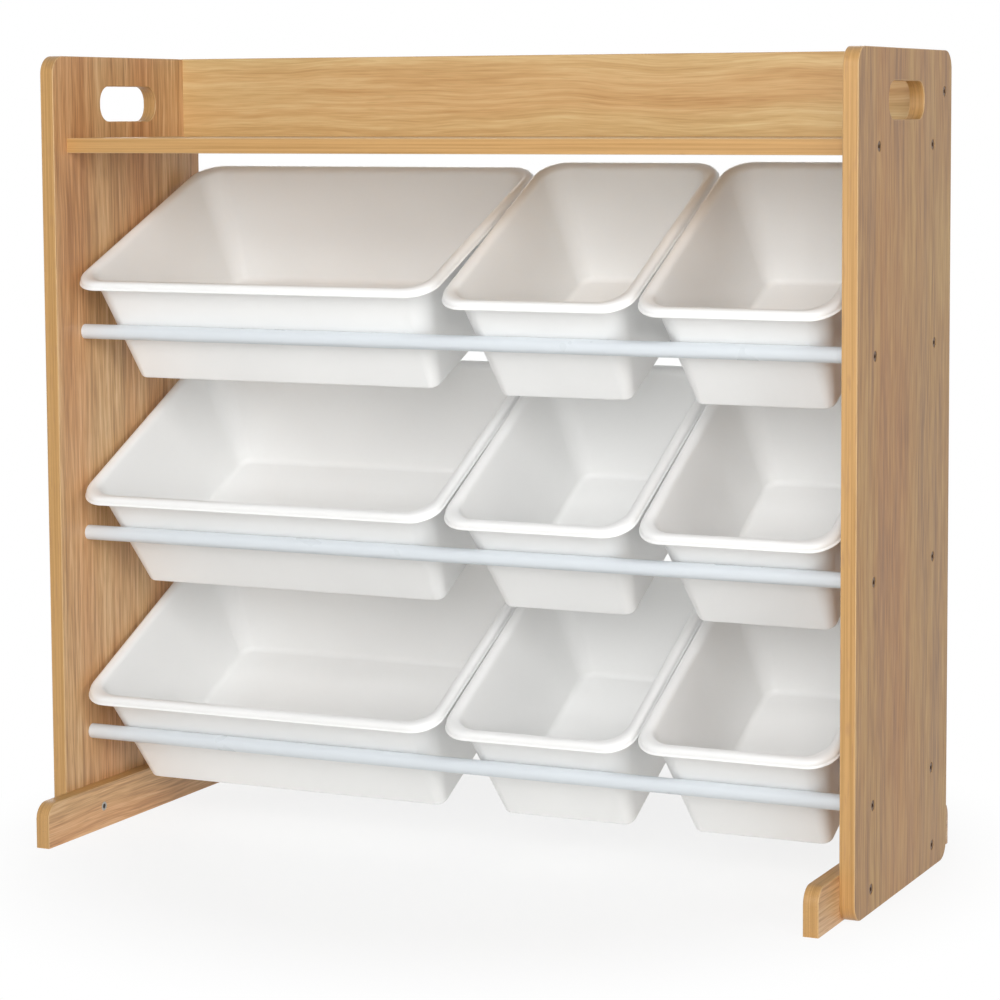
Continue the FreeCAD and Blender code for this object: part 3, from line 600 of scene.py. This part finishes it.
class ORGANIZER_OT_bins(bpy.types.Operator):
    """Mould the three wide and six narrow bins"""
    bl_idname = "organizer.bins"
    bl_label = "Bins"

    def execute(self, context):
        s = context.scene.organizer_bins
        plastic = polypropylene("white_polypropylene", s.plastic, roughness=0.36)
        for tier in TIERS:
            for which in ("big", "centre", "right"):
                moulded_bin(f"{which}_bin_{tier}", plastic)
        return {"FINISHED"}


# ---------------------------------------------------------------- stage
# the paper's share of plain white by the rack, and the distances from the rack's middle, in
# metres, between which that share grows to the whole
PLAIN_SHARE = 0.78
PLAIN_FROM, PLAIN_TO = 0.30, 0.58
AMBIENT = 0.17      # even light from all round
AIM = (0, 0, 0.4)   # the rack's middle, which the lamps face
# each lamp's name, place in metres, side in metres and watts
LAMPS = (("key", (0.9, -3.5, 1.6), 2.4, 102),
         ("side_fill", (3.3, -1.7, 1.1), 2.0, 32),
         ("rear_fill", (-1.6, 3.6, 1.5), 2.4, 52))


def seen(tree):
    """1 for what a camera, gloss or glass looks at, 0 for what only lights the rack."""
    path = add(tree, "LightPath", {})
    no_glass = add(tree, "Math", {0: path.outputs["Is Camera Ray"],
                                  1: path.outputs["Is Glossy Ray"]}, operation="MAXIMUM")
    return add(tree, "Math", {0: no_glass, 1: path.outputs["Is Transmission Ray"]},
               operation="MAXIMUM")


def floor_material(s):
    """Matt white paper that reads mostly as plain white, and wholly so away from the rack."""
    material, tree, shader = new_material("matt_white_paper")
    feed(tree, shader, {"Base Color": (*s.paper, 1), "Roughness": 0.9})
    place = add(tree, "TexCoord", {}).outputs["Object"]
    flat = add(tree, "Mapping", {0: place, "Scale": (1, 1, 0)})
    away = add(tree, "VectorMath", {0: flat}, operation="LENGTH")
    fade = add(tree, "MapRange", {0: away, FROM_LOW: PLAIN_FROM, FROM_HIGH: PLAIN_TO,
                                  TO_LOW: PLAIN_SHARE}, interpolation_type="SMOOTHSTEP")
    share = add(tree, "Math", {0: fade, 1: seen(tree)}, operation="MULTIPLY")
    plain = add(tree, "Emission", {"Color": (*WHITE, 1), "Strength": 1.0})
    mixed = add(tree, "MixShader", {0: share, 1: shader, 2: plain})
    feed(tree, tree.nodes["Material Output"], {"Surface": mixed})
    return material


def soft_lamp(name, place, side, watts):
    """A square white area lamp that faces the rack."""
    lamp = bpy.data.lights.new(name, "AREA")
    lamp.size = side
    lamp.energy = watts
    holder = bpy.data.objects.new(name, lamp)
    holder.location = place
    holder.rotation_euler = (Vector(AIM) - Vector(place)).to_track_quat("-Z", "Y").to_euler()
    bpy.context.scene.collection.objects.link(holder)


def white_world():
    """Even ambient light; cameras, gloss and glass see plain white."""
    world = bpy.data.worlds.new("studio")
    world.use_nodes = True
    tree = world.node_tree
    level = add(tree, "MapRange", {0: seen(tree), TO_LOW: AMBIENT})
    feed(tree, tree.nodes["Background"], {"Color": (*WHITE, 1), "Strength": level})
    bpy.context.scene.world = world


def studio_camera(s):
    """The camera at the photograph's place, with the shift that its framing needs."""
    forward = Vector((math.sin(s.yaw) * math.cos(s.pitch), math.cos(s.yaw) * math.cos(s.pitch),
                      math.sin(s.pitch)))
    right = Vector((math.cos(s.yaw), -math.sin(s.yaw), 0))
    up = right.cross(forward)
    turned_right = math.cos(s.roll) * right + math.sin(s.roll) * up
    turned_up = -math.sin(s.roll) * right + math.cos(s.roll) * up
    data = bpy.data.cameras.new("camera")
    data.sensor_width = s.sensor / MM
    data.lens = s.lens / MM
    data.shift_x = s.shift_x
    data.shift_y = s.shift_y
    camera = bpy.data.objects.new("camera", data)
    turn = Matrix((turned_right, turned_up, -forward)).transposed().to_4x4()
    camera.matrix_world = Matrix.Translation((s.camera_x, s.camera_y, s.camera_z)) @ turn
    bpy.context.scene.collection.objects.link(camera)
    bpy.context.scene.camera = camera


class ORGANIZER_OT_stage(bpy.types.Operator):
    """Lay the floor and set the lamps, the world and the camera"""
    bl_idname = "organizer.stage"
    bl_label = "Stage"

    def execute(self, context):
        s = context.scene.organizer_stage
        bm = bmesh.new()
        bmesh.ops.create_grid(bm, x_segments=2, y_segments=2, size=s.floor_size / 2)
        mesh = bpy.data.meshes.new("floor")
        bm.to_mesh(mesh)
        bm.free()
        mesh.materials.append(floor_material(s))
        floor = bpy.data.objects.new("floor", mesh)
        context.scene.collection.objects.link(floor)
        for lamp in LAMPS:
            soft_lamp(*lamp)
        white_world()
        context.scene.view_settings.view_transform = "Standard"
        studio_camera(s)
        return {"FINISHED"}


class ORGANIZER_PT_panel(bpy.types.Panel):
    """Sizes, colours and the steps that build the rack's looks"""
    bl_idname = "ORGANIZER_PT_panel"
    bl_label = "Toy Storage Organizer"
    bl_space_type = "VIEW_3D"
    bl_region_type = "UI"
    bl_category = "Organizer"

    def draw(self, context):
        for operator in OPERATORS:
            self.layout.operator(operator.bl_idname)
        for name in GROUPS:
            group = getattr(context.scene, name)
            box = self.layout.box()
            box.label(text=name.replace("_", " "))
            for item in group.bl_rna.properties:
                if item.identifier not in ("rna_type", "name"):
                    box.prop(group, item.identifier)


GROUPS = {"organizer_boards": BoardSettings, "organizer_bins": BinSettings,
          "organizer_metal": MetalSettings, "organizer_stage": StageSettings}
OPERATORS = (ORGANIZER_OT_boards, ORGANIZER_OT_rods, ORGANIZER_OT_fasteners, ORGANIZER_OT_bins,
             ORGANIZER_OT_stage)


def register():
    for kind in (*GROUPS.values(), *OPERATORS, ORGANIZER_PT_panel):
        bpy.utils.register_class(kind)
    for name, group in GROUPS.items():
        setattr(bpy.types.Scene, name, bpy.props.PointerProperty(type=group))


def unregister():
    for name in GROUPS:
        delattr(bpy.types.Scene, name)
    for kind in reversed((*GROUPS.values(), *OPERATORS, ORGANIZER_PT_panel)):
        bpy.utils.unregister_class(kind)


def main():
    """Build the looks in order."""
    register()
    bpy.ops.organizer.boards()
    bpy.ops.organizer.rods()
    bpy.ops.organizer.fasteners()
    bpy.ops.organizer.bins()
    bpy.ops.organizer.stage()


if __name__ == "__main__":
    main()
